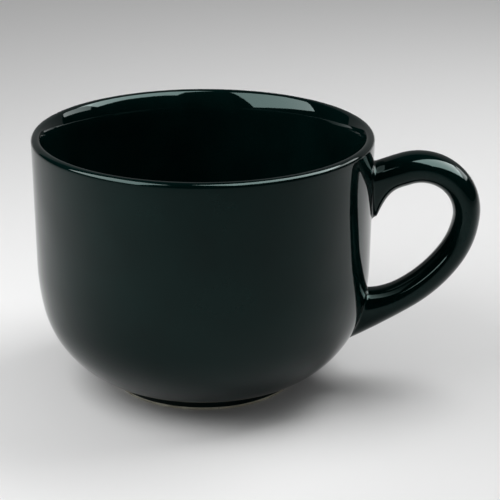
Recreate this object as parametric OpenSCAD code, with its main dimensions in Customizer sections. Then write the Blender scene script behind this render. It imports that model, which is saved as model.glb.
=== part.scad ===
// Soup mug: a wide glazed stoneware bowl on a low foot ring, with one loop handle.
// Lengths are in millimetres. The mug stands on the XY plane with its axis on Z,
// and its handle points along +X.

/* [Bowl] */
// Outside diameter at the lip
rim_d = 121; // [114:0.5:128]
// Height from the table to the lip
mug_h = 92.5; // [89:0.5:98]
// Lean of the straight wall, in degrees
wall_lean = 0.8; // [0:0.1:1.6]
// Radius of the gentle curve under the straight wall
upper_curve_r = 82; // [72:1:92]
// Turn of the gentle curve, in degrees
upper_curve_turn = 11; // [8:0.5:14]
// Radius of the tighter curve that runs in to the foot
lower_curve_r = 35.5; // [33:0.5:38]
// Height of the bowl's lowest curve above the table
bowl_lift = 1.9; // [1.6:0.1:2.4]
// Thickness of the clay wall
wall_t = 4.4; // [3.8:0.1:5.2]

/* [Lip] */
// Radius of the lip's outer round
lip_out_r = 1.75; // [1.4:0.05:2.2]
// Radius of the lip's inner round
lip_in_r = 1.6; // [1.2:0.05:2]
// Radius of the flare from the lip's inner round down into the wall
flare_r = 15.5; // [10:0.5:22]

/* [Foot] */
// Outside diameter of the foot ring
foot_d = 67.5; // [63:0.5:72]
// Width of the foot ring
foot_w = 5; // [4:0.5:7]
// Radius of the foot ring's two lower edges
foot_edge_r = 0.8; // [0.4:0.1:1.1]
// Height of the bare clay band under the glaze
bare_h = 1.2; // [1.1:0.1:1.6]
// Depth of the recess inside the foot ring
recess_h = 2.3; // [1.9:0.1:2.8]

/* [Handle] */
// Height at which the handle's centre line leaves the wall
upper_root_z = 76.5; // [73:0.5:79]
// Rise of the handle where it leaves the wall, in degrees
handle_rise = 18; // [15:1:23]
// Length of the straight run out from the wall
handle_run = 12; // [10:0.5:15]
// Radius of the bend over the top
top_bend_r = 16.8; // [15:0.2:18.6]
// Turn of the bend over the top, in degrees
top_bend_turn = 114; // [108:1:118]
// Radius of the bend at the far side
side_bend_r = 31; // [27:1:35]
// Turn of the bend at the far side, in degrees
side_bend_turn = 28; // [22:1:34]
// Radius of the sweep back to the wall
low_sweep_r = 52; // [46:1:60]
// Width across the handle
handle_w = 14; // [11:0.5:17]
// Thickness over the top
handle_t_top = 11.9; // [9.5:0.1:13]
// Thickness at the far side
handle_t_side = 9.8; // [8:0.1:11]
// Thickness on the lower sweep
handle_t_low = 11.1; // [9:0.1:12.5]
// Extra depth of the upper root, down the wall
upper_flare = 8.7; // [6:0.1:11]
// Length over which the upper root's extra depth dies away
upper_reach = 9.5; // [7:0.5:12]
// Length of the upper root's land beside the wall
upper_land = 1.2; // [0.6:0.1:2]
// Extra thickness of the lower root at the wall
lower_flare = 6.2; // [4:0.1:8]
// Length over which the lower root's extra thickness grows
lower_reach = 18; // [14:1:24]

/* [Joints and glaze] */
// Thickness of the slip that holds the handle to the wall
slip_t = 0.8; // [0.5:0.1:1.4]
// Thickness of the glaze
glaze_t = 0.4; // [0.3:0.05:0.5]

/* [Hidden] */

// Smoothness of the turned and swept shapes
turn_facets = 96;
arc_step_angle = 4;
bend_step_angle = 7;
run_steps = 8;
handle_sides = 24;

// How far the handle runs on inside the bowl's outline, where it is cut off
handle_sink = 10.5;
// Overrun of one cut past another
overrun = 1;
// Narrowing of the upper root's lower tip, as a share of the handle's width
tip_narrow_share = 0.45;

// Bowl outline: two arcs and a leaning wall, stacked up from the table
rim_r = rim_d / 2;
foot_r = foot_d / 2;
foot_in_r = foot_r - foot_w;
full_wall_t = wall_t + 2 * glaze_t;
curve_join_angle = wall_lean + upper_curve_turn;
lower_c_z = bowl_lift + lower_curve_r;
join_z = lower_c_z - lower_curve_r * sin(curve_join_angle);
upper_c_z = join_z + upper_curve_r * sin(curve_join_angle);
curve_top_z = upper_c_z - upper_curve_r * sin(wall_lean);
lip_c_r = rim_r - lip_out_r;
lip_c_z = mug_h - lip_out_r;
curve_top_r = rim_r - (lip_c_z - curve_top_z) * tan(wall_lean);
upper_c_r = curve_top_r - upper_curve_r * cos(wall_lean);
lower_c_r = upper_c_r + (upper_curve_r - lower_curve_r) * cos(curve_join_angle);

// Inside of the lip: a small round that runs into the flare, which runs into the wall
in_round_z = mug_h - lip_in_r;
in_wall_r = rim_r - (lip_c_z - in_round_z) * tan(wall_lean) - full_wall_t;
round_depth = (lip_c_r - in_wall_r) * cos(wall_lean);
flare_out = flare_r - round_depth;
flare_drop = sqrt(pow(flare_r - lip_in_r, 2) - pow(flare_out, 2));
flare_c_r = lip_c_r + flare_out * cos(wall_lean) - flare_drop * sin(wall_lean);
flare_c_z = in_round_z - flare_out * sin(wall_lean) - flare_drop * cos(wall_lean);
flare_tilt = atan2(flare_drop, flare_out) + wall_lean;

// Points of an arc, with angles counted down from straight out
function arc(centre, r, from, to) =
    let (steps = ceil(abs(to - from) / arc_step_angle))
    [for (i = [0 : steps])
        let (angle = from + (to - from) * i / steps)
        [centre[0] + r * cos(angle), centre[1] - r * sin(angle)]];

// Radius of the glazed outside at a height on the wall or its curves
function bowl_r_at(z) =
    z >= curve_top_z ? rim_r - (lip_c_z - z) * tan(wall_lean)
    : z >= join_z ? upper_c_r + sqrt(pow(upper_curve_r, 2) - pow(upper_c_z - z, 2))
    : lower_c_r + sqrt(pow(lower_curve_r, 2) - pow(lower_c_z - z, 2));

// The two curves of the wall at a depth below the glazed outside
function lower_curve(depth, from) =
    arc([lower_c_r, lower_c_z], lower_curve_r - depth, from, curve_join_angle);
function upper_curve(depth) =
    arc([upper_c_r, upper_c_z], upper_curve_r - depth, curve_join_angle, wall_lean);

// Angle at which the lower curve runs into the foot's outside
function crease_angle(inset) = acos((foot_r - inset - lower_c_r) / (lower_curve_r - inset));

// Outside from the foot's crease up to the lip's crest, set in by an inset
function outer_side(inset) =
    concat(lower_curve(inset, crease_angle(inset)),
           upper_curve(inset),
           arc([lip_c_r, lip_c_z], lip_out_r - inset, wall_lean, -90));

// Inside from the lip's crest down to the middle of the floor, set in by an inset
function inner_side(inset) =
    let (depth = full_wall_t - inset, curves = concat(lower_curve(depth, 90), upper_curve(depth)))
    concat(arc([lip_c_r, in_round_z], lip_in_r - inset, -90, flare_tilt - 180),
           arc([flare_c_r, flare_c_z], flare_r - inset, flare_tilt - 180, wall_lean - 180),
           turned_round(curves),
           [[0, bowl_lift + depth]]);

function turned_round(points) = [for (i = [len(points) - 1 : -1 : 0]) points[i]];

// Clay outline under the bowl, from the recess's middle out to the foot's outside
function clay_underside() =
    let (out_r = foot_r - glaze_t, in_r = foot_in_r + glaze_t)
    concat([[0, recess_h + glaze_t], [in_r, recess_h + glaze_t]],
           arc([in_r + foot_edge_r, foot_edge_r], foot_edge_r, 180, 90),
           arc([out_r - foot_edge_r, foot_edge_r], foot_edge_r, 90, 0));

// The bowl's outside filled solid, set in by an inset
module bowl_block(inset) {
    side = outer_side(inset);
    crest = side[len(side) - 1];
    rotate_extrude($fn = turn_facets)
        polygon(concat([[0, side[0][1]]], side, [[0, crest[1]]]));
}

// A skin of the bowl's outside between two insets
module bowl_skin(outer_inset, inner_inset) {
    rotate_extrude($fn = turn_facets)
        polygon(concat(outer_side(outer_inset), turned_round(outer_side(inner_inset))));
}

// Handle centre line: stations of [distance from the wall, x, z, heading, tilt of the section]
root_x = bowl_r_at(upper_root_z);

function run_station(s) =
    [s, root_x + s * cos(handle_rise), upper_root_z + s * sin(handle_rise), handle_rise,
     handle_rise * max(0, s) / handle_run];

function arc_length(r, turn) = r * turn * PI / 180;

function bend_station(from, bend_r, turn) =
    let (heading = from[3] - turn)
    [from[0] + arc_length(bend_r, turn),
     from[1] + bend_r * (sin(from[3]) - sin(heading)),
     from[2] - bend_r * (cos(from[3]) - cos(heading)),
     heading,
     heading];

function bend_stations(from, bend_r, turn) =
    let (steps = ceil(turn / bend_step_angle))
    [for (i = [1 : steps]) bend_station(from, bend_r, turn * i / steps)];

top_start = run_station(handle_run);
side_start = bend_station(top_start, top_bend_r, top_bend_turn);
low_start = bend_station(side_start, side_bend_r, side_bend_turn);

// Turn of the low sweep at which the centre line has come back to a distance from the axis
function low_turn_at(x) =
    let (centre_x = low_start[1] + low_sweep_r * sin(low_start[3]))
    low_start[3] + 180 - asin((x - centre_x) / low_sweep_r);

low_end = bend_station(low_start, low_sweep_r, low_turn_at(rim_r - handle_sink));
low_middle_s = (low_start[0] + low_end[0]) / 2;
lower_root_s = low_start[0]
    + arc_length(low_sweep_r, low_turn_at(bowl_r_at(low_end[2])));

// Stations beside the upper root, over the bends and along the low sweep
function upper_stations(sink) = concat(
    [run_station(-sink), run_station(0)],
    [for (i = [0 : run_steps]) run_station(upper_land + (handle_run - upper_land) * i / run_steps)]);
function bent_stations() = concat(
    bend_stations(top_start, top_bend_r, top_bend_turn),
    bend_stations(side_start, side_bend_r, side_bend_turn));
function lower_stations(sink) =
    concat([low_start], bend_stations(low_start, low_sweep_r, low_turn_at(rim_r - sink)));
function all_stations(sink) =
    concat(upper_stations(sink), bent_stations(),
           [for (i = [1 : len(lower_stations(sink)) - 1]) lower_stations(sink)[i]]);

// Half thickness of the handle, and how much of the upper root's flare is left
function half_t_at(s) =
    lookup(s, [[handle_run, handle_t_top], [side_start[0], handle_t_side],
               [low_middle_s, handle_t_low]]) / 2
    + lower_flare * pow(max(0, 1 - (lower_root_s - s) / lower_reach), 2) / 2;
function flare_share_at(s) = pow(max(0, 1 - max(0, s - upper_land) / upper_reach), 3);

// One closed section of the handle, set in by an inset
function section(station, inset) =
    let (s = station[0], tilt = station[4], flare_share = flare_share_at(s),
         out_t = half_t_at(s) - inset, in_t = out_t + upper_flare * flare_share,
         half_w = handle_w / 2 - inset)
    [for (i = [0 : handle_sides - 1])
        let (angle = 360 * i / handle_sides, up = sin(angle),
             off = up > 0 ? out_t * up : in_t * up,
             narrow_share = tip_narrow_share * flare_share * max(0, -up))
        [station[1] - off * sin(tilt),
         half_w * cos(angle) * (1 - narrow_share),
         station[2] + off * cos(tilt)]];

// The handle's sections joined into one closed solid
module handle_sweep(inset, stations) {
    last = (len(stations) - 1) * handle_sides;
    polyhedron(
        points = [for (station = stations) each section(station, inset)],
        faces = concat(
            [[for (i = [0 : handle_sides - 1]) i]],
            [[for (i = [handle_sides - 1 : -1 : 0]) last + i]],
            [for (row = [0 : handle_sides : last - handle_sides], i = [0 : handle_sides - 1])
                let (j = (i + 1) % handle_sides, next_row = row + handle_sides)
                each [[row + j, row + i, next_row + i], [row + j, next_row + i, next_row + j]]]));
}

// Stoneware bowl: wall, floor and foot ring, bare at the foot
module body() {
    color("tan")
        rotate_extrude($fn = turn_facets)
            polygon(concat(clay_underside(), outer_side(glaze_t), inner_side(glaze_t)));
}

// Stoneware loop, its two ends cut to the wall's curve
module handle() {
    color("tan")
        difference() {
            handle_sweep(glaze_t, all_stations(handle_sink));
            bowl_block(glaze_t - slip_t);
        }
}

// A layer of slip between the wall and one end of the handle
module slip_joint(stations) {
    color("burlywood")
        intersection() {
            handle_sweep(glaze_t, stations);
            bowl_skin(glaze_t - slip_t, glaze_t);
        }
}

module upper_slip_joint() {
    slip_joint(upper_stations(handle_sink));
}

module lower_slip_joint() {
    slip_joint(lower_stations(handle_sink));
}

// Glaze outside, from the bare band up to the lip's crest, open at the handle's roots
module outer_glaze() {
    band = [[foot_r - glaze_t, bare_h], [foot_r, bare_h]];
    color("darkslategray")
        difference() {
            rotate_extrude($fn = turn_facets)
                polygon(concat(band, outer_side(0), turned_round(outer_side(glaze_t))));
            handle_sweep(0, upper_stations(handle_sink));
            handle_sweep(0, lower_stations(handle_sink));
        }
}

// Glaze inside, from the lip's crest down over the floor
module inner_glaze() {
    color("darkslategray")
        rotate_extrude($fn = turn_facets)
            polygon(concat(inner_side(0), turned_round(inner_side(glaze_t))));
}

// Glaze round the handle, down to the wall's clay at both roots
module handle_glaze() {
    color("darkslategray")
        difference() {
            handle_sweep(0, all_stations(handle_sink));
            handle_sweep(glaze_t, all_stations(handle_sink + overrun));
            bowl_block(glaze_t);
        }
}

// Glaze on the recess inside the foot ring, down to the bare band
module base_glaze() {
    color("darkslategray")
        rotate_extrude($fn = turn_facets)
            polygon([[0, recess_h], [foot_in_r, recess_h], [foot_in_r, bare_h],
                     [foot_in_r + glaze_t, bare_h], [foot_in_r + glaze_t, recess_h + glaze_t],
                     [0, recess_h + glaze_t]]);
}

body();
handle();
upper_slip_joint();
lower_slip_joint();
outer_glaze();
inner_glaze();
handle_glaze();
base_glaze();
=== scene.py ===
# Soup mug: a glazed stoneware bowl on a bare foot ring, with one loop handle.
# Lengths are in metres. The mug stands on the XY plane, its axis is Z and its handle points along +X.
import math
from collections import namedtuple

import bpy
import numpy as np
from mathutils import Matrix, Quaternion, Vector


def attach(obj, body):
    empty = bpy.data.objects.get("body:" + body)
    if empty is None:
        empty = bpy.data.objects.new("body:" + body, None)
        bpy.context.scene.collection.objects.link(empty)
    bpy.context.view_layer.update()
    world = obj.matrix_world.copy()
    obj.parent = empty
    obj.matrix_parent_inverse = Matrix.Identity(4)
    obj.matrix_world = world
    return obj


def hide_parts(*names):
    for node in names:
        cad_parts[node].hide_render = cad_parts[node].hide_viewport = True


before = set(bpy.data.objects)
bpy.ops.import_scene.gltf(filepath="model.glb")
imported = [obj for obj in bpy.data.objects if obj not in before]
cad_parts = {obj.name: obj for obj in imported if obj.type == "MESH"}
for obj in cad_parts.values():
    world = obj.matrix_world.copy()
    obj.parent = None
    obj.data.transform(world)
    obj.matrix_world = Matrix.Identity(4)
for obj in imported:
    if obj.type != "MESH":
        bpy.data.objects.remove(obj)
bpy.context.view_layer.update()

Spine = namedtuple("Spine", "s x z tilt half_t")
Noise = namedtuple("Noise", "scale detail")
Softbox = namedtuple("Softbox", "place aim size turn power")

# Camera: the photo's width and focal length in pixels, and where the camera stands and looks
PHOTO_PX = 500
FOCAL_PX = 1767
SENSOR_MM = 36
CAMERA_OFF = 0.6
CAMERA_H = 0.266
CAMERA_ROUND = math.radians(4)
CAMERA_PAN = math.radians(-2.408)
CAMERA_TILT = math.radians(19.958)
CAMERA_ROLL = math.radians(0.236)

# Bowl, as the solids have it
RIM_R = 0.0605
MUG_H = 0.0925
WALL_LEAN = math.radians(0.8)
UPPER_CURVE_R = 0.082
UPPER_CURVE_TURN = math.radians(11)
LOWER_CURVE_R = 0.0355
BOWL_LIFT = 0.0019
WALL_T = 0.0044
LIP_OUT_R = 0.00175
LIP_IN_R = 0.0016
FLARE_R = 0.0155
GLAZE_T = 0.0004

# Foot ring, with the roundings and the wiped edge that the glaze gives it
FOOT_R = 0.03375
FOOT_IN_R = 0.02875
BARE_H = 0.0012
RECESS_H = 0.0023
CREASE_R = 0.001
RECESS_CORNER_R = 0.0006
EDGE_WAVE = 0.00012
EDGE_WAVES = (3, 7, 11)

# Handle, as the solids have it
UPPER_ROOT_Z = 0.0765
HANDLE_RISE = math.radians(18)
HANDLE_RUN = 0.012
TOP_BEND_R = 0.0168
TOP_BEND_TURN = math.radians(114)
SIDE_BEND_R = 0.031
SIDE_BEND_TURN = math.radians(28)
LOW_SWEEP_R = 0.052
HANDLE_W = 0.014
HANDLE_T_TOP = 0.0119
HANDLE_T_SIDE = 0.0098
HANDLE_T_LOW = 0.0111
UPPER_FLARE = 0.0087
UPPER_REACH = 0.0095
UPPER_LAND = 0.0012
LOWER_FLARE = 0.0062
LOWER_REACH = 0.018
HANDLE_SINK = 0.0105
TIP_NARROW_SHARE = 0.45

# How the glaze softens the handle's roots and bends, and how far its skin is drawn in
ROOT_FILLET = 0.0014
FILLET_PULL_SHARE = 0.6
BEND_EASE = 0.0035
THICKNESS_EASE = 0.006
HANDLE_TRIM = 0.0001

# Heights round which the wall is opened for the handle's two roots
UPPER_PATCH_Z = 0.073
LOWER_PATCH_Z = 0.0262

# Fineness of the meshes, and which way the coat gets its thickness
TURNS = 240
EDGE_STEPS = 5
CREASE_STEPS = 8
LOWER_STEPS = 22
UPPER_STEPS = 9
WALL_STEPS = 28
LIP_STEPS = 12
FLARE_STEPS = 14
INNER_WALL_STEPS = 8
FLOOR_STEPS = 4
PATCH_HALF = 10
PATCH_STEPS = 8
PATCH_EASE = 1.25
FILLET_STEPS = 8
HANDLE_STEPS = 108
SPINE_STEP = 0.0001
SEARCH_STEPS = 40
INWARD = -1

# Glaze: colours, shine and surface
GLAZE_DEEP = (0.0005, 0.004, 0.0037, 1)
GLAZE_PALE = (0.0009, 0.0072, 0.0066, 1)
GLAZE_TINT = (0.31, 0.45, 0.43, 1)
GLAZE_IOR = 1.42
GLAZE_ROUGHNESS = (0.02, 0.05)
GLAZE_MOTTLE = Noise(scale=60, detail=4)
GLAZE_MOTTLE_SHARES = (0.3, 0.75)
GLAZE_RIPPLE = Noise(scale=75, detail=0)
GLAZE_RIPPLE_H = 0.00012
GLAZE_PEEL = Noise(scale=420, detail=1)
GLAZE_PEEL_H = 0.000006

# Bare clay and slip: colours, shine and surface
CLAY_PALE = (0.62, 0.61, 0.5, 1)
CLAY_DARK = (0.42, 0.4, 0.31, 1)
CLAY_ROUGHNESS = (0.7, 0.95)
CLAY_MOTTLE = Noise(scale=260, detail=6)
CLAY_MOTTLE_SHARES = (0.35, 0.7)
CLAY_GRAIN = Noise(scale=2600, detail=3)
CLAY_GRAIN_H = 0.00005
SPECK_COLOUR = (0.035, 0.025, 0.018, 1)
SPECK = Noise(scale=900, detail=2)
SPECK_SHARES = (0.68, 0.74)
SLIP_PALE = (0.6, 0.54, 0.45, 1)
BLACK = (0, 0, 0, 1)
WHITE = (1, 1, 1, 1)

# Floor, and the light that comes from all round
FLOOR_SIZE = 8
FLOOR_COLOUR = (0.8, 0.8, 0.8, 1)
FLOOR_ROUGHNESS = 1
FLOOR_SPECULAR = 0
WORLD_COLOUR = (0.27, 0.27, 0.27, 1)

# Lights that shine on matt surfaces and show in no glossy one, with powers in watts
KEYS = {
    "left_key": Softbox(place=(-0.242, -0.107, 0.304), aim=(0, 0, 0),
                        size=(0.3, 0.31), turn=0, power=1.1),
    "right_key": Softbox(place=(0.31, 0.194, 0.599), aim=(0, 0, 0),
                         size=(0.4, 0.42), turn=0, power=2.95),
}

# Lights that only show as reflections in the glaze, with powers in watts
PANELS = {
    "left_panel": Softbox(place=(-0.395, -0.217, 0.478), aim=(0.045, 0.143, 0.418),
                          size=(0.53, 0.55), turn=math.radians(-12), power=10.7),
    "right_panel": Softbox(place=(0.573, -0.101, 0.75), aim=(0.43, -0.076, 0),
                           size=(1.16, 0.62), turn=math.radians(-37), power=35),
    "side_panel": Softbox(place=(1.33, 0.62, 0.79), aim=(0.05, -0.03, 0.09),
                          size=(0.8, 0.44), turn=math.radians(-15), power=6.2),
    "back_wall": Softbox(place=(0, 1.6, 1.2), aim=(0, 0, 1.2),
                         size=(4, 2.4), turn=0, power=6.5),
}

# Bowl outline worked out from the sizes above
FULL_WALL_T = WALL_T + 2 * GLAZE_T
JOIN_ANGLE = WALL_LEAN + UPPER_CURVE_TURN
LOWER_C_Z = BOWL_LIFT + LOWER_CURVE_R
JOIN_Z = LOWER_C_Z - LOWER_CURVE_R * math.sin(JOIN_ANGLE)
UPPER_C_Z = JOIN_Z + UPPER_CURVE_R * math.sin(JOIN_ANGLE)
CURVE_TOP_Z = UPPER_C_Z - UPPER_CURVE_R * math.sin(WALL_LEAN)
LIP_C_R = RIM_R - LIP_OUT_R
LIP_C_Z = MUG_H - LIP_OUT_R
CURVE_TOP_R = RIM_R - (LIP_C_Z - CURVE_TOP_Z) * math.tan(WALL_LEAN)
UPPER_C_R = CURVE_TOP_R - UPPER_CURVE_R * math.cos(WALL_LEAN)
LOWER_C_R = UPPER_C_R + (UPPER_CURVE_R - LOWER_CURVE_R) * math.cos(JOIN_ANGLE)

# Inside of the lip: a small round that runs into a long flare, which runs into the wall
IN_ROUND_Z = MUG_H - LIP_IN_R
IN_WALL_R = RIM_R - (LIP_C_Z - IN_ROUND_Z) * math.tan(WALL_LEAN) - FULL_WALL_T
ROUND_DEPTH = (LIP_C_R - IN_WALL_R) * math.cos(WALL_LEAN)
FLARE_OUT = FLARE_R - ROUND_DEPTH
FLARE_DROP = math.sqrt((FLARE_R - LIP_IN_R) ** 2 - FLARE_OUT ** 2)
FLARE_C_R = LIP_C_R + FLARE_OUT * math.cos(WALL_LEAN) - FLARE_DROP * math.sin(WALL_LEAN)
FLARE_C_Z = IN_ROUND_Z - FLARE_OUT * math.sin(WALL_LEAN) - FLARE_DROP * math.cos(WALL_LEAN)
FLARE_TILT = math.atan2(FLARE_DROP, FLARE_OUT) + WALL_LEAN

# Distances along the handle's centre line, from the wall at its upper root
SIDE_START_S = HANDLE_RUN + TOP_BEND_R * TOP_BEND_TURN
LOW_START_S = SIDE_START_S + SIDE_BEND_R * SIDE_BEND_TURN
LOW_END_S = LOW_START_S + LOW_SWEEP_R * math.pi / 2

# Angles of the turned meshes' columns
COLUMN_ANGLES = np.linspace(0, 2 * math.pi, TURNS, endpoint=False)


def add_object(name, data):
    """An object in the scene with the given mesh, camera or light."""
    added = bpy.data.objects.new(name, data)
    bpy.context.scene.collection.objects.link(added)
    return added


def add_camera():
    data = bpy.data.cameras.new("camera")
    data.sensor_width = SENSOR_MM
    data.lens = FOCAL_PX * SENSOR_MM / PHOTO_PX
    camera = add_object("camera", data)
    level = Vector((math.sin(CAMERA_PAN), math.cos(CAMERA_PAN), 0))
    ahead = level * math.cos(CAMERA_TILT) - Vector((0, 0, math.sin(CAMERA_TILT)))
    right = ahead.cross(Vector((0, 0, 1))).normalized()
    up = right.cross(ahead)
    rolled_right = right * math.cos(CAMERA_ROLL) + up * math.sin(CAMERA_ROLL)
    rolled_up = up * math.cos(CAMERA_ROLL) - right * math.sin(CAMERA_ROLL)
    off_x = math.sin(CAMERA_ROUND) * CAMERA_OFF
    off_y = -math.cos(CAMERA_ROUND) * CAMERA_OFF
    turn = Matrix((rolled_right, rolled_up, -ahead)).transposed().to_4x4()
    camera.matrix_world = Matrix.Translation((off_x, off_y, CAMERA_H)) @ turn
    bpy.context.scene.camera = camera


def arc(centre, r, start, end, steps):
    """Points of an arc, with angles counted down from straight out."""
    angles = np.linspace(start, end, steps + 1)
    return np.column_stack((centre[0] + r * np.cos(angles), centre[1] - r * np.sin(angles)))


def straight(start, end, steps):
    return np.linspace(start, end, steps + 1)


def chained(stretches):
    """Stretches of an outline in one list, each starting where the last one ended."""
    return np.vstack([stretches[0]] + [stretch[1:] for stretch in stretches[1:]])


def upper_arc(depth, start, end):
    """Part of the wall's gentle curve, at a depth below its outside."""
    return arc((UPPER_C_R, UPPER_C_Z), UPPER_CURVE_R - depth, start, end, UPPER_STEPS)


def lower_arc(depth, start, end):
    """Part of the tighter curve that runs in to the foot, at a depth below its outside."""
    return arc((LOWER_C_R, LOWER_C_Z), LOWER_CURVE_R - depth, start, end, LOWER_STEPS)


def outer_rows():
    """The glazed outside as (radius, height) rows, from the bare foot up to the lip's crest."""
    edge = arc((FOOT_R - GLAZE_T, BARE_H + GLAZE_T), GLAZE_T, math.pi / 2, 0, EDGE_STEPS)
    crease_r = FOOT_R + CREASE_R
    crease_angle = math.acos((crease_r - LOWER_C_R) / (LOWER_CURVE_R + CREASE_R))
    crease_z = LOWER_C_Z - (LOWER_CURVE_R + CREASE_R) * math.sin(crease_angle)
    crease = arc((crease_r, crease_z), CREASE_R, -math.pi, crease_angle - math.pi, CREASE_STEPS)
    lower = lower_arc(0, crease_angle, JOIN_ANGLE)
    upper = upper_arc(0, JOIN_ANGLE, WALL_LEAN)
    lip = arc((LIP_C_R, LIP_C_Z), LIP_OUT_R, WALL_LEAN, -math.pi / 2, LIP_STEPS)
    foot_face = straight(edge[-1], crease[0], 1)
    wall = straight(upper[-1], lip[0], WALL_STEPS)
    return chained([edge, foot_face, crease, lower, upper, wall, lip])


def inner_rows():
    """The glazed inside as (radius, height) rows, from the lip's crest down to the floor's middle."""
    flare_start = FLARE_TILT - math.pi
    lip = arc((LIP_C_R, IN_ROUND_Z), LIP_IN_R, -math.pi / 2, flare_start, LIP_STEPS)
    flare = arc((FLARE_C_R, FLARE_C_Z), FLARE_R, flare_start, WALL_LEAN - math.pi, FLARE_STEPS)
    upper = upper_arc(FULL_WALL_T, WALL_LEAN, JOIN_ANGLE)
    lower = lower_arc(FULL_WALL_T, JOIN_ANGLE, math.pi / 2)
    wall = straight(flare[-1], upper[0], INNER_WALL_STEPS)
    floor = straight(lower[-1], (0, BOWL_LIFT + FULL_WALL_T), FLOOR_STEPS)
    return chained([lip, flare, wall, upper, lower, floor])


def bowl_r_at(z):
    """Radius of the glazed outside at heights on the wall or its curves."""
    wall = RIM_R - (LIP_C_Z - z) * math.tan(WALL_LEAN)
    upper = UPPER_C_R + np.sqrt(np.maximum(UPPER_CURVE_R ** 2 - (UPPER_C_Z - z) ** 2, 0))
    lower = LOWER_C_R + np.sqrt(np.maximum(LOWER_CURVE_R ** 2 - (LOWER_C_Z - z) ** 2, 0))
    return np.where(z >= CURVE_TOP_Z, wall, np.where(z >= JOIN_Z, upper, lower))


def wall_points(angle, z):
    """Points of the glazed outside at angles round the axis and heights."""
    r = bowl_r_at(z)
    return np.stack((r * np.cos(angle), r * np.sin(angle), z), axis=-1)


def angle_and_height(points):
    """Angles round the axis and heights of points."""
    x, y, z = np.moveaxis(points, -1, 0)
    return np.arctan2(y, x), z


def eased(values, width):
    """Values along the handle's centre line, smoothed over a width."""
    count = round(width / SPINE_STEP)
    window = np.hanning(count + 2)[1:-1]
    padded = np.pad(values, count, mode="edge")
    return np.convolve(padded, window / window.sum(), mode="same")[count:-count]


def running_sum(values):
    """Integral along the handle's centre line from its start."""
    middles = (values[1:] + values[:-1]) / 2
    return np.concatenate(([0], np.cumsum(middles) * SPINE_STEP))


def half_thickness(s, x, z):
    """Half the handle's thickness along its centre line, with the flare at its lower root."""
    low = s > LOW_START_S
    lower_root_s = np.interp(-bowl_r_at(z[-1]), -x[low], s[low])
    low_middle_s = (LOW_START_S + s[-1]) / 2
    stations = (HANDLE_RUN, SIDE_START_S, low_middle_s)
    thickness = np.interp(s, stations, (HANDLE_T_TOP, HANDLE_T_SIDE, HANDLE_T_LOW))
    flare = LOWER_FLARE * np.maximum(0, 1 - (lower_root_s - s) / LOWER_REACH) ** 2
    return (eased(thickness, THICKNESS_EASE) + flare) / 2 - HANDLE_TRIM


def handle_spine():
    """The handle's centre line by distance s along it, with its section's tilt and half thickness."""
    s = np.arange(-HANDLE_SINK, LOW_END_S, SPINE_STEP)
    stretches = [s < HANDLE_RUN, s < SIDE_START_S, s < LOW_START_S]
    curvature = np.select(stretches, [0, 1 / TOP_BEND_R, 1 / SIDE_BEND_R], 1 / LOW_SWEEP_R)
    heading = HANDLE_RISE - running_sum(eased(curvature, BEND_EASE))
    x = running_sum(np.cos(heading))
    z = running_sum(np.sin(heading))
    x += bowl_r_at(np.array(UPPER_ROOT_Z)) - np.interp(0, s, x)
    z += UPPER_ROOT_Z - np.interp(0, s, z)
    sunk = (s > LOW_START_S) & (x < RIM_R - HANDLE_SINK)
    end = int(np.argmax(sunk))
    s, x, z, heading = s[:end], x[:end], z[:end], heading[:end]
    tilt = np.where(s < HANDLE_RUN, HANDLE_RISE * np.maximum(s, 0) / HANDLE_RUN, heading)
    return Spine(s, x, z, tilt, half_thickness(s, x, z))


def handle_points(spine, s, turn):
    """Points of the handle's skin at distances along its centre line and angles round its section."""
    x, z, tilt, half_t = (np.interp(s, spine.s, track) for track in spine[1:])
    flare = np.maximum(0, 1 - np.maximum(0, s - UPPER_LAND) / UPPER_REACH) ** 3
    up = np.sin(turn)
    off = np.where(up > 0, half_t * up, (half_t + UPPER_FLARE * flare) * up)
    narrow = 1 - TIP_NARROW_SHARE * flare * np.maximum(0, -up)
    y = (HANDLE_W / 2 - HANDLE_TRIM) * np.cos(turn) * narrow
    return np.stack((x - off * np.sin(tilt), y, z + off * np.cos(tilt)), axis=-1)


def meeting_s(spine, turn, inside_s, outside_s):
    """Distances along the centre line at which the handle's skin meets the wall, by halving."""
    inside = np.full_like(turn, inside_s)
    outside = np.full_like(turn, outside_s)
    for _ in range(SEARCH_STEPS):
        middle = (inside + outside) / 2
        x, y, z = np.moveaxis(handle_points(spine, middle, turn), -1, 0)
        out = np.hypot(x, y) > bowl_r_at(z)
        outside = np.where(out, middle, outside)
        inside = np.where(out, inside, middle)
    return middle


def patch_border():
    """Row and column steps round a square patch of the wall, from its +Y side up and round."""
    side = np.arange(-PATCH_HALF, PATCH_HALF)
    end = np.full_like(side, PATCH_HALF)
    sides = [(side, end), (end, -side), (-side, -end), (-end, side)]
    return np.roll(np.hstack(sides), -PATCH_HALF, axis=1)


def unit(vectors):
    return vectors / np.linalg.norm(vectors, axis=-1, keepdims=True)


def curved_layers(start, start_pull, end_pull, end):
    """Layers of points along cubic curves from one ring of points to another, without the first."""
    t = np.linspace(0, 1, FILLET_STEPS + 1)[1:, None, None]
    return ((1 - t) ** 3 * start + 3 * t * (1 - t) ** 2 * start_pull
            + 3 * t ** 2 * (1 - t) * end_pull + t ** 3 * end)


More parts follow.
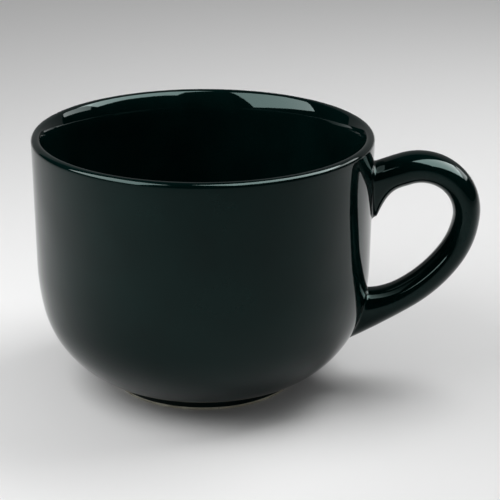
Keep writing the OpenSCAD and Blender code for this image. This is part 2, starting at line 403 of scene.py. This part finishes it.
def root_layers(spine, turn, meet_s, outward, border):
    """Layers of points from the patch's border, over the wall and the fillet, to the handle's skin.

    outward is 1 where the handle leaves the wall as s grows, and -1 where it comes back to it."""
    meet = handle_points(spine, meet_s, turn)
    meet_angle, meet_z = angle_and_height(meet)
    border_angle, border_z = angle_and_height(border)
    reach = np.hypot(RIM_R * (border_angle - meet_angle), border_z - meet_z)
    foot_share = ROOT_FILLET / reach
    shares = foot_share + (1 - foot_share) * np.linspace(1, 0, PATCH_STEPS + 1)[1:, None] ** PATCH_EASE
    over_wall = wall_points(meet_angle + (border_angle - meet_angle) * shares,
                            meet_z + (border_z - meet_z) * shares)
    foot = over_wall[-1]
    on_handle = handle_points(spine, meet_s + outward * ROOT_FILLET, turn)
    before = handle_points(spine, meet_s + outward * (ROOT_FILLET - SPINE_STEP), turn)
    pull = FILLET_PULL_SHARE * ROOT_FILLET
    foot_pull = foot + unit(meet - foot) * pull
    handle_pull = on_handle + unit(before - on_handle) * pull
    return np.concatenate((over_wall, curved_layers(foot, foot_pull, handle_pull, on_handle)))


def handle_layers(upper_border, lower_border):
    """Layers of points from the upper patch's border, along the handle, to the lower patch's border."""
    row_step, column_step = patch_border()
    turn = np.arctan2(row_step, column_step).astype(float)
    spine = handle_spine()
    upper_s = meeting_s(spine, turn, -HANDLE_SINK, HANDLE_RUN)
    lower_s = meeting_s(spine, turn, spine.s[-1], spine.s[-1] - LOWER_REACH)
    upper = root_layers(spine, turn, upper_s, 1, upper_border)
    lower = root_layers(spine, turn, lower_s, -1, lower_border)
    along = np.linspace(0, 1, HANDLE_STEPS + 1)[1:-1, None]
    tube_s = (upper_s + ROOT_FILLET) * (1 - along) + (lower_s - ROOT_FILLET) * along
    tube = handle_points(spine, tube_s, turn)
    return np.concatenate((upper, tube, lower[::-1]))


def turned(rows):
    """Points of (radius, height) rows turned about the axis."""
    r, z = rows[:, :1], rows[:, 1:]
    tracks = np.broadcast_arrays(r * np.cos(COLUMN_ANGLES), r * np.sin(COLUMN_ANGLES), z)
    return np.stack(tracks, axis=-1)


def edge_wave():
    """Height of the wiped edge's wander round the foot."""
    waves = [np.sin(count * COLUMN_ANGLES + count) for count in EDGE_WAVES]
    return EDGE_WAVE * sum(waves) / len(EDGE_WAVES)


def bowl_grid():
    """Points of the bowl's coat in rows, from its wiped edge over the lip and down to the floor."""
    grid = turned(np.vstack((outer_rows(), inner_rows()[1:-1])))
    moved = EDGE_STEPS + 2
    grid[:moved, :, 2] += edge_wave() * np.linspace(1, 0, moved)[:, None]
    return grid


def patch_row(z):
    """Number of the row below the lip that is nearest to a height."""
    heights = outer_rows()[:-LIP_STEPS, 1]
    return int(np.argmin(abs(heights - z)))


def numbered(grid):
    """A number for each point of a grid."""
    return np.arange(grid[..., 0].size).reshape(grid.shape[:2])


def quads(numbers):
    """Faces between neighbouring rows and columns of point numbers, joined up round each row."""
    ring = np.hstack((numbers, numbers[:, :1]))
    return np.stack((ring[:-1, :-1], ring[:-1, 1:], ring[1:, 1:], ring[1:, :-1]), axis=-1)


def fan(ring, middle):
    """Triangles from a ring of point numbers to the point in its middle."""
    return np.column_stack((ring, np.roll(ring, -1), np.full(len(ring), middle)))


def mesh_piece(name, points, faces):
    """A smooth mesh object of the points that its faces use."""
    used = np.unique(np.concatenate([np.ravel(group) for group in faces]))
    renumber = np.zeros(len(points), int)
    renumber[used] = np.arange(len(used))
    mesh = bpy.data.meshes.new(name)
    polygons = [polygon for group in faces for polygon in renumber[group].tolist()]
    mesh.from_pydata(points[used].tolist(), [], polygons)
    mesh.validate()
    mesh.shade_smooth()
    return add_object(name, mesh)


def glaze_coat():
    """The fused coat: outside, lip, inside and handle in one skin, backed to its real thickness."""
    grid = bowl_grid()
    numbers = numbered(grid)
    row_step, column_step = patch_border()
    columns = column_step % TURNS
    upper_row = patch_row(UPPER_PATCH_Z)
    lower_row = patch_row(LOWER_PATCH_Z)
    upper_border = (upper_row + row_step, columns)
    lower_border = (lower_row - row_step, columns)
    kept = np.ones((len(grid) - 1, TURNS), bool)
    patch = np.arange(-PATCH_HALF, PATCH_HALF)
    for row in (upper_row, lower_row):
        kept[np.ix_(row + patch, patch % TURNS)] = False
    layers = handle_layers(grid[upper_border], grid[lower_border])
    layer_numbers = numbers.size + numbered(layers)
    strips = np.vstack((numbers[upper_border], layer_numbers, numbers[lower_border]))
    middle = [0, 0, BOWL_LIFT + FULL_WALL_T]
    points = np.vstack((grid.reshape(-1, 3), layers.reshape(-1, 3), middle))
    floor_fan = fan(numbers[-1], numbers.size + layer_numbers.size)
    faces = [quads(numbers)[kept], quads(strips).reshape(-1, 4), floor_fan]
    coat = mesh_piece("glaze_coat", points, faces)
    thickness = coat.modifiers.new("thickness", "SOLIDIFY")
    thickness.thickness = GLAZE_T
    thickness.offset = INWARD
    return coat


def recess_glaze():
    """The coat on the recess inside the foot ring, rounded into its corner and wiped off at its edge."""
    back_r = FOOT_IN_R + GLAZE_T
    top_z = RECESS_H + GLAZE_T
    corner_centre = (FOOT_IN_R - RECESS_CORNER_R, RECESS_H - RECESS_CORNER_R)
    corner = arc(corner_centre, RECESS_CORNER_R, -math.pi / 2, 0, CREASE_STEPS)
    edge = arc((back_r, BARE_H + GLAZE_T), GLAZE_T, math.pi, math.pi / 2, EDGE_STEPS)
    ceiling = straight((0, RECESS_H), corner[0], FLOOR_STEPS)
    side = straight(corner[-1], edge[0], 1)
    back = straight(edge[-1], (back_r, top_z), 1)
    top = straight(back[-1], (0, top_z), FLOOR_STEPS)
    grid = turned(chained([ceiling, corner, side, edge, back, top])[1:-1])
    edge_first = FLOOR_STEPS + CREASE_STEPS
    grid[edge_first:edge_first + EDGE_STEPS + 1, :, 2] += edge_wave()
    numbers = numbered(grid)
    points = np.vstack((grid.reshape(-1, 3), [0, 0, RECESS_H], [0, 0, top_z]))
    low_fan = fan(numbers[0][::-1], numbers.size)
    high_fan = fan(numbers[-1], numbers.size + 1)
    return mesh_piece("recess_glaze", points, [quads(numbers).reshape(-1, 4), low_fan, high_fan])


def new_material(name):
    """A material, with its node tree and its shader."""
    material = bpy.data.materials.new(name)
    material.use_nodes = True
    tree = material.node_tree
    return material, tree, tree.nodes["Principled BSDF"]


def add_noise(tree, place, noise):
    node = tree.nodes.new("ShaderNodeTexNoise")
    node.inputs["Scale"].default_value = noise.scale
    node.inputs["Detail"].default_value = noise.detail
    tree.links.new(place, node.inputs["Vector"])
    return node.outputs["Fac"]


def add_ramp(tree, factor, shares, low_colour, high_colour):
    """A blend of two colours, which starts and ends where the factor reaches the two shares."""
    ramp = tree.nodes.new("ShaderNodeValToRGB")
    for element, share, colour in zip(ramp.color_ramp.elements, shares, (low_colour, high_colour)):
        element.position = share
        element.color = colour
    tree.links.new(factor, ramp.inputs["Fac"])
    return ramp.outputs["Color"]


def add_range(tree, factor, limits):
    spread = tree.nodes.new("ShaderNodeMapRange")
    spread.inputs["To Min"].default_value = limits[0]
    spread.inputs["To Max"].default_value = limits[1]
    tree.links.new(factor, spread.inputs["Value"])
    return spread.outputs["Result"]


def add_bump(tree, height, distance, under=None):
    """A bumped normal, laid over another one where that is given."""
    bump = tree.nodes.new("ShaderNodeBump")
    bump.inputs["Distance"].default_value = distance
    tree.links.new(height, bump.inputs["Height"])
    if under is not None:
        tree.links.new(under, bump.inputs["Normal"])
    return bump.outputs["Normal"]


def glaze_material():
    """Near-black green gloss glaze, faintly mottled, with a slow ripple and fine orange peel."""
    material, tree, shader = new_material("glaze")
    place = tree.nodes.new("ShaderNodeTexCoord").outputs["Object"]
    mottle = add_noise(tree, place, GLAZE_MOTTLE)
    ripple = add_noise(tree, place, GLAZE_RIPPLE)
    peel = add_noise(tree, place, GLAZE_PEEL)
    colour = add_ramp(tree, mottle, GLAZE_MOTTLE_SHARES, GLAZE_DEEP, GLAZE_PALE)
    rippled = add_bump(tree, ripple, GLAZE_RIPPLE_H)
    peeled = add_bump(tree, peel, GLAZE_PEEL_H, rippled)
    tree.links.new(colour, shader.inputs["Base Color"])
    tree.links.new(add_range(tree, mottle, GLAZE_ROUGHNESS), shader.inputs["Roughness"])
    tree.links.new(peeled, shader.inputs["Normal"])
    shader.inputs["IOR"].default_value = GLAZE_IOR
    shader.inputs["Specular Tint"].default_value = GLAZE_TINT
    return material


def clay_material(name, pale):
    """Bare fired stoneware: mottled tan with dark specks and an open grain."""
    material, tree, shader = new_material(name)
    place = tree.nodes.new("ShaderNodeTexCoord").outputs["Object"]
    mottle = add_noise(tree, place, CLAY_MOTTLE)
    speck = add_noise(tree, place, SPECK)
    grain = add_noise(tree, place, CLAY_GRAIN)
    mix = tree.nodes.new("ShaderNodeMix")
    mix.data_type = "RGBA"
    tree.links.new(add_ramp(tree, speck, SPECK_SHARES, BLACK, WHITE), mix.inputs["Factor"])
    tree.links.new(add_ramp(tree, mottle, CLAY_MOTTLE_SHARES, CLAY_DARK, pale), mix.inputs["A"])
    mix.inputs["B"].default_value = SPECK_COLOUR
    tree.links.new(mix.outputs["Result"], shader.inputs["Base Color"])
    tree.links.new(add_range(tree, grain, CLAY_ROUGHNESS), shader.inputs["Roughness"])
    tree.links.new(add_bump(tree, grain, CLAY_GRAIN_H), shader.inputs["Normal"])
    return material


def floor_material():
    material, _, shader = new_material("floor")
    shader.inputs["Base Color"].default_value = FLOOR_COLOUR
    shader.inputs["Roughness"].default_value = FLOOR_ROUGHNESS
    shader.inputs["Specular IOR Level"].default_value = FLOOR_SPECULAR
    return material


def add_floor():
    half = FLOOR_SIZE / 2
    corners = [(-half, -half, 0), (half, -half, 0), (half, half, 0), (-half, half, 0)]
    mesh = bpy.data.meshes.new("floor")
    mesh.from_pydata(corners, [], [(0, 1, 2, 3)])
    mesh.materials.append(floor_material())
    floor = add_object("floor", mesh)


def add_softbox(name, box):
    """A lamp with a flat rectangular face, turned towards its aim and then about its own axis."""
    data = bpy.data.lights.new(name, "AREA")
    data.shape = "RECTANGLE"
    data.size, data.size_y = box.size
    data.energy = box.power
    lamp = add_object(name, data)
    facing = (Vector(box.aim) - Vector(box.place)).to_track_quat("-Z", "Y")
    lamp.location = box.place
    lamp.rotation_mode = "QUATERNION"
    lamp.rotation_quaternion = facing @ Quaternion((0, 0, 1), box.turn)
    return lamp


def add_light():
    for name, box in KEYS.items():
        add_softbox(name, box).visible_glossy = False
    for name, box in PANELS.items():
        add_softbox(name, box).visible_diffuse = False
    world = bpy.data.worlds.new("world")
    bpy.context.scene.world = world
    world.use_nodes = True
    world.node_tree.nodes["Background"].inputs["Color"].default_value = WORLD_COLOUR
    world.cycles_visibility.glossy = False


def dress():
    """Puts the pieces on the body and gives every surface its material."""
    glaze = glaze_material()
    coat = glaze_coat()
    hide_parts("outer_glaze", "inner_glaze", "handle_glaze")
    recess = recess_glaze()
    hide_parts("base_glaze")
    for piece in (coat, recess):
        piece.data.materials.append(glaze)
        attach(piece, "root")
    clay = clay_material("clay", CLAY_PALE)
    slip = clay_material("slip", SLIP_PALE)
    finishes = {"body": clay, "handle": clay, "upper_slip_joint": slip, "lower_slip_joint": slip}
    for node, material in finishes.items():
        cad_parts[node].material_slots[0].material = material


add_camera()
dress()
add_floor()
add_light()
bpy.context.scene.view_settings.view_transform = "Standard"
